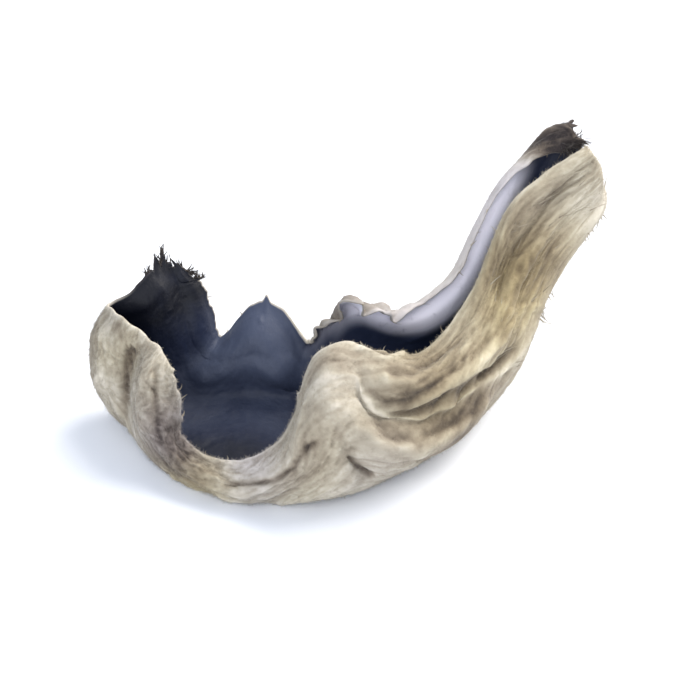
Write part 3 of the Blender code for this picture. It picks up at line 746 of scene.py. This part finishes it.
def node(tree, kind, inputs, **settings):
    """A node with its settings. Each input is linked to a socket or set to a value."""
    made = tree.nodes.new(kind)
    for setting, value in settings.items():
        setattr(made, setting, value)
    for place, value in inputs.items():
        if isinstance(value, bpy.types.NodeSocket):
            tree.links.new(value, made.inputs[place])
        else:
            made.inputs[place].default_value = value
    return made


def noise_texture(tree, source, scale, detail, roughness, output="Fac"):
    inputs = {"Vector": source, "Scale": scale, "Detail": detail, "Roughness": roughness}
    return node(tree, "ShaderNodeTexNoise", inputs).outputs[output]


def reading(tree, name, output="Fac"):
    return node(tree, "ShaderNodeAttribute", {}, attribute_name=name).outputs[output]


def varied(tree, value, other, share):
    """The value with a share of the other one, centred on 0.5, added to it."""
    less = node(tree, "ShaderNodeMath", {0: value, 1: share / 2}, operation="SUBTRACT")
    inputs = {0: other, 1: share, 2: less.outputs[0]}
    return node(tree, "ShaderNodeMath", inputs, operation="MULTIPLY_ADD").outputs[0]


def step_between(tree, value, low, high):
    inputs = {"Value": value, "From Min": low, "From Max": high}
    made = node(tree, "ShaderNodeMapRange", inputs, interpolation_type="SMOOTHSTEP")
    return made.outputs["Result"]


def coloured(tree, value, stops):
    """Colours for a value: each stop has its place from 0 to 1 and its colour."""
    made = node(tree, "ShaderNodeValToRGB", {"Fac": value})
    while len(made.color_ramp.elements) < len(stops):
        made.color_ramp.elements.new(0.5)
    for element, (place, colour) in zip(made.color_ramp.elements, stops):
        element.position = place
        element.color = (*colour, 1.0)
    return made.outputs["Color"]


def mixed(tree, factor, first, second, blend="MIX"):
    """Two colours mixed. Their sockets share a name with others, so they go by number."""
    inputs = {"Factor": factor, 6: first, 7: second}
    return node(tree, "ShaderNodeMix", inputs, data_type="RGBA", blend_type=blend).outputs[2]


def bumped(tree, shader, *heights):
    """Bumps of the shader's surface: each has its source, strength and depth."""
    normal = None
    for source, strength, depth in heights:
        inputs = {"Height": source, "Strength": strength, "Distance": depth}
        if normal:
            inputs["Normal"] = normal
        normal = node(tree, "ShaderNodeBump", inputs).outputs["Normal"]
    tree.links.new(normal, shader.inputs["Normal"])


velvet, tree, shader = new_material("velvet_back", VELVET_FINISH)
spot = node(tree, "ShaderNodeTexCoord", {}).outputs["Object"]
sheet_place = reading(tree, "sheet", "Vector")
mapping = node(tree, "ShaderNodeMapping", {"Vector": sheet_place, "Scale": STREAK_STRETCH})
stretched = mapping.outputs["Vector"]
wander = {0: noise_texture(tree, stretched, *WANDER, "Color"), 1: (WANDER_REACH,) * 3, 2: stretched}
wandered = node(tree, "ShaderNodeVectorMath", wander, operation="MULTIPLY_ADD").outputs[0]
cells = {"Vector": wandered, "Scale": WRINKLE_SCALE}
gaps = node(tree, "ShaderNodeTexVoronoi", cells, feature="DISTANCE_TO_EDGE").outputs["Distance"]
wrinkles = step_between(tree, gaps, 0.0, 0.22)
pale = step_between(tree, reading(tree, "paleness"), -0.75, 0.75)
pale = varied(tree, pale, noise_texture(tree, spot, *BLOTCHES), 0.30)
pale = varied(tree, pale, noise_texture(tree, stretched, *STREAKS), 0.16)
# Painted shade: the colour is a little darker along the grooves of the wrinkles' bump.
pale = varied(tree, pale, wrinkles, 0.10)
pale = varied(tree, pale, noise_texture(tree, spot, *SPECKS), 0.18)
velvet_colour = coloured(tree, pale, VELVET_COLOURS)
tint = coloured(tree, reading(tree, "warmth"), TINTS)
tree.links.new(mixed(tree, 1.0, velvet_colour, tint, "MULTIPLY"), shader.inputs["Base Color"])
bumped(tree, shader, (wrinkles, *WRINKLE_BUMP), (noise_texture(tree, spot, *NAP), *NAP_BUMP),
       (noise_texture(tree, spot, *PILE), *PILE_BUMP))
ear_mesh.materials.append(velvet)

spore_face, tree, shader = new_material("spore_face", SPORE_FINISH)
spot = node(tree, "ShaderNodeTexCoord", {}).outputs["Object"]
# The spore face's painted light and shade, with cloudy mottling.
lit_and_shaded_slate = varied(tree, reading(tree, "spore_light_and_shade"), noise_texture(tree, spot, *CLOUDS), 0.55)
haze = step_between(tree, noise_texture(tree, spot, *HAZE), 0.05, 0.46)
# The haze mixes in the pale bloom and its painted sheen.
dust_and_sheen = node(tree, "ShaderNodeMath", {0: haze, 1: reading(tree, "bloom_and_sheen")}, operation="MULTIPLY")
spore_colour = mixed(tree, dust_and_sheen.outputs[0], coloured(tree, lit_and_shaded_slate, SPORE_COLOURS), BLOOM_AND_SHEEN_COLOUR)
# The edge is darker at the torn tail, and darkened with painted shade at the left lobe.
edge_colour = mixed(tree, reading(tree, "torn_and_shaded"), EDGE_COLOUR, TORN_AND_SHADED_COLOUR)
inside_edge = step_between(tree, reading(tree, "margin"), 0.08, 0.26)
tree.links.new(mixed(tree, inside_edge, edge_colour, spore_colour), shader.inputs["Base Color"])
drying = noise_texture(tree, reading(tree, "sheet", "Vector"), *DRYING)
bumped(tree, shader, (drying, *DRYING_BUMP), (noise_texture(tree, spot, *LEATHER), *LEATHER_BUMP),
       (noise_texture(tree, spot, *PORES), *PORE_BUMP))
ear_mesh.materials.append(spore_face)
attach(ear, "root")
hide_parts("ear")

# The fibres
# Where the ear was torn from its log, and along the dark lobe's worn margin, the flesh frayed into
# loose threads. Each is a thin three-sided cone, bent from its root in the margin to its tip.
LOBE_FRINGE = 75
END_FRINGE = 75
TAIL_TANGLE = 170
TAIL_SHAG = 80
TAIL_TUFTS = 110
STRAY = 44
THREAD_WIDTHS = (0.03, 0.11)
THREAD_PARTS = 6
THREAD_ROOT = 0.1
THREAD_SHADES = (-0.2, 0.2)
SEED = 11

# A thread's middle lies this share of its reach from its root, and its tip this share further on.
# Its sides are set square to a way that hardly any thread points in.
THREAD_MIDDLE = 0.55
THREAD_TIP = 0.5
CROSSWISE = (0.31, 0.62, 0.72)
draw = np.random.default_rng(SEED)


def strands(name, roots, middles, tips, widths, parts, readings):
    """One mesh of three-sided cones, each bent by its root, its middle and its tip."""
    bm = bmesh.new()
    bmesh.ops.create_cone(bm, segments=3, radius1=1.0, radius2=0.0, depth=1.0)
    for k in range(1, parts):
        bmesh.ops.bisect_plane(bm, geom=bm.verts[:] + bm.edges[:] + bm.faces[:],
                               plane_co=(0, 0, k / parts - 0.5), plane_no=(0, 0, 1))
    bmesh.ops.triangulate(bm, faces=bm.faces[:])
    bm.verts.index_update()
    cone = np.array([vert.co for vert in bm.verts])
    corners = np.array([[vert.index for vert in face.verts] for face in bm.faces])
    bm.free()
    share = (cone[:, 2] + 0.5)[None, :, None]
    path = ((1 - share) ** 2 * roots[:, None] + 2 * share * (1 - share) * middles[:, None]
            + share ** 2 * tips[:, None])
    aside = unit(np.cross(tips - roots, CROSSWISE))
    beside = unit(np.cross(tips - roots, aside))
    points = path + widths[:, None, None] * (cone[None, :, :1] * aside[:, None]
                                             + cone[None, :, 1:2] * beside[:, None])
    points[..., 2] = np.maximum(points[..., 2], 0.0)
    points = (points - origin).reshape(-1, 3) * MM
    starts = np.arange(len(roots))[:, None, None] * len(cone)
    mesh = bpy.data.meshes.new(name)
    mesh.from_pydata(points.tolist(), [], (corners[None] + starts).reshape(-1, 3).tolist())
    for reading_name, values in readings.items():
        layer = mesh.attributes.new(reading_name, "FLOAT", "POINT")
        layer.data.foreach_set("value", np.repeat(values, len(cone)))
    mesh.shade_smooth()
    mesh.materials.append(velvet)
    made = bpy.data.objects.new(name, mesh)
    bpy.context.collection.objects.link(made)
    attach(made, "root")


def read_grid(grid, rows, columns):
    """The grid's values between its points."""
    i, j = rows.astype(int), columns.astype(int)
    f, g = rows - i, columns - j
    if grid.ndim == 3:
        f, g = f[:, None], g[:, None]
    return ((grid[i, j] * (1 - g) + grid[i, j + 1] * g) * (1 - f)
            + (grid[i + 1, j] * (1 - g) + grid[i + 1, j + 1] * g) * f)


def scattered(count):
    """Ways that point anywhere."""
    return unit(draw.normal(size=(count, 3)))


out_of_skin = -sheet_normals(outer)
tailward = unit(np.gradient(skin, axis=0))
farward = unit(np.gradient(skin, axis=1))
last_row, last_column = SKIN_ROWS - 0.001, SKIN_COLUMNS - 0.001


def frayed(rows, columns, spread, lengths, bend, pale, to_tail=0.0, to_far=0.0, out=0.0, up=0.0):
    """Threads that leave the sheet at these rows and columns, each way by its share."""
    count = len(rows)
    reach = draw.uniform(*lengths, count)[:, None]
    roots = read_grid(skin, rows, columns)
    heading = (to_tail * read_grid(tailward, rows, columns)
               + to_far * read_grid(farward, rows, columns)
               + out * read_grid(out_of_skin, rows, columns) + (0, 0, up))
    way = unit(heading + spread * scattered(count))
    middles = roots + way * reach * THREAD_MIDDLE
    tips = middles + unit(way + bend * scattered(count)) * reach * THREAD_TIP
    return roots - THREAD_ROOT * way, middles, tips, pale + draw.uniform(*THREAD_SHADES, count)


def clumped(count, low, high, wave, seed):
    """Places from low to high that gather in clumps."""
    places = draw.uniform(low, high, count * 4)
    crowd = noise_at(places / wave, 0 * places, seed)
    return places[np.argsort(-crowd - draw.uniform(0, 0.5, len(places)))][:count]


# Threads fringe the lobe's far margin and its end margin, dark with the lobe's painted shade.
lots = []
rows = clumped(LOBE_FRINGE, 0.0, 0.085, 0.012, 51.5) * SKIN_ROWS
columns = np.full(LOBE_FRINGE, last_column)
lots.append(frayed(rows, columns, to_far=1.0, up=0.5, spread=0.7, lengths=(0.4, 1.3), bend=1.0,
                   pale=-1.1))
columns = clumped(END_FRINGE, 0.70, 0.995, 0.05, 52.5) * SKIN_COLUMNS
rows = np.zeros(END_FRINGE)
lots.append(frayed(rows, columns, to_tail=-1.0, up=0.4, spread=0.7, lengths=(0.4, 1.5), bend=1.0,
                   pale=-1.1))

# The tail has a dark tangle at its far corner, a pale shag along its outline and tufts at its end.
rows = clumped(TAIL_TANGLE, 0.90, 0.998, 0.02, 53.5) * SKIN_ROWS
columns = draw.uniform(0.93, 0.999, TAIL_TANGLE) * SKIN_COLUMNS
lots.append(frayed(rows, columns, to_far=0.8, to_tail=0.4, spread=0.9, lengths=(0.6, 2.4), bend=1.4,
                   pale=-0.9))
rows = clumped(TAIL_SHAG, 0.84, 0.985, 0.02, 55.5) * SKIN_ROWS
outline = np.argmax(0.8 * u - 0.6 * v, axis=1)[rows.astype(int)]
columns = outline + draw.uniform(-4.0, 8.0, TAIL_SHAG)
lots.append(frayed(rows, columns, out=0.6, to_tail=-0.5, spread=0.3, lengths=(1.0, 2.8), bend=0.7,
                   pale=0.3))
rows = clumped(TAIL_TUFTS, 0.78, 0.998, 0.02, 54.5) * SKIN_ROWS
columns = draw.uniform(0.10, 0.44, TAIL_TUFTS) * SKIN_COLUMNS
lots.append(frayed(rows, columns, to_tail=1.0, out=0.45, spread=0.25, lengths=(0.8, 2.2), bend=0.4,
                   pale=0.1))

# A few stray threads stand on both side margins.
rows = draw.uniform(0.05, 0.95, STRAY) * SKIN_ROWS
columns = np.where(draw.uniform(size=STRAY) < 0.5, 0.0, last_column)
outward = np.where(columns[:, None] > 0, 1, -1)
lots.append(frayed(rows, columns, to_far=outward, spread=0.8, lengths=(0.3, 0.9), bend=1.0, pale=0.1))
roots, middles, tips, pales = (np.concatenate(each) for each in zip(*lots))
strands("ear_fibres", roots, middles, tips, draw.uniform(*THREAD_WIDTHS, len(roots)), THREAD_PARTS,
        {"paleness": pales, "warmth": np.full(len(roots), 0.5)})

# The velvet
# The back of a wood ear is covered with short stiff hairs. On a dry one they lie half flat and
# make it matt. Each hair is one thin three-sided cone that stands on the skin.
HAIRS = 64000
HAIR_LENGTHS = (0.16, 0.42)
HAIR_WIDTHS = (0.010, 0.018)
HAIR_ROOT = 0.03
HAIR_LEAN = 0.5
HAIR_SCATTER = 0.75
BALD_BELOW = 0.3
rows = draw.uniform(0, last_row, HAIRS)
columns = draw.uniform(0, last_column, HAIRS)
roots = read_grid(outer, rows, columns)
upright = read_grid(out_of_skin, rows, columns)
lean = HAIR_LEAN * read_grid(tailward, rows, columns) + HAIR_SCATTER * scattered(HAIRS)
tips = roots + unit(upright + lean) * draw.uniform(*HAIR_LENGTHS, HAIRS)[:, None]
kept = roots[:, 2] > BALD_BELOW
# Hairs take the skin's paleness, with its painted highlights and shade, and a spread of their own.
hair_pale = read_grid(paleness, rows, columns) + draw.uniform(-0.12, 0.22, HAIRS)
hair_warm = read_grid(warmth, rows, columns)
strands("ear_velvet", (roots - HAIR_ROOT * upright)[kept], roots[kept], tips[kept],
        draw.uniform(*HAIR_WIDTHS, HAIRS)[kept], 1,
        {"paleness": hair_pale[kept], "warmth": hair_warm[kept]})

# The ground, the light and the camera
# A plain pale sheet of paper, daylight from a large window at the upper right, a weaker light from
# the front and the room's cooler light from all round, seen from the photograph's height of 36
# degrees.
PAPER_FINISH = {"Base Color": (0.84, 0.86, 0.90, 1.0), "Roughness": 0.9}
bpy.ops.mesh.primitive_plane_add(size=1.6)
floor = bpy.context.object
floor.name = "ground"
floor.data.materials.append(new_material("paper", PAPER_FINISH)[0])

VIEW_HEIGHT = math.radians(36)
VIEW_FAR = 0.42
VIEW_WIDTH = 0.062
TARGET = Vector((0.0, 0.0, 0.0075))
camera_data = bpy.data.cameras.new("camera")
camera_data.sensor_width = 36.0
camera_data.lens = camera_data.sensor_width * VIEW_FAR / VIEW_WIDTH
camera_data.clip_start = 0.01
camera = bpy.data.objects.new("camera", camera_data)
bpy.context.collection.objects.link(camera)
back = Vector((0.0, -math.cos(VIEW_HEIGHT), math.sin(VIEW_HEIGHT)))
camera.location = TARGET + back * VIEW_FAR
camera.rotation_euler = (-back).to_track_quat("-Z", "Y").to_euler()
bpy.context.scene.camera = camera

# A lamp has its name, place, size, power and colour.
LIGHTS = (
    ("window", (0.23, 0.17, 0.30), 0.42, 3.6, (1.0, 0.95, 0.88)),
    ("front", (-0.10, -0.36, 0.22), 0.40, 1.5, (0.96, 0.97, 1.0)),
)
ROOM_COLOUR = (0.78, 0.86, 1.0, 1.0)
ROOM_STRENGTH = 0.72
for name, place, size, power, colour in LIGHTS:
    lamp = bpy.data.lights.new(name, "AREA")
    lamp.energy = power
    lamp.size = size
    lamp.color = colour
    holder = bpy.data.objects.new(name, lamp)
    holder.location = place
    holder.rotation_euler = (TARGET - Vector(place)).to_track_quat("-Z", "Y").to_euler()
    bpy.context.collection.objects.link(holder)
world = bpy.data.worlds.new("room")
world.use_nodes = True
world.node_tree.nodes["Background"].inputs["Color"].default_value = ROOM_COLOUR
world.node_tree.nodes["Background"].inputs["Strength"].default_value = ROOM_STRENGTH
bpy.context.scene.world = world
bpy.context.scene.view_settings.view_transform = "Standard"
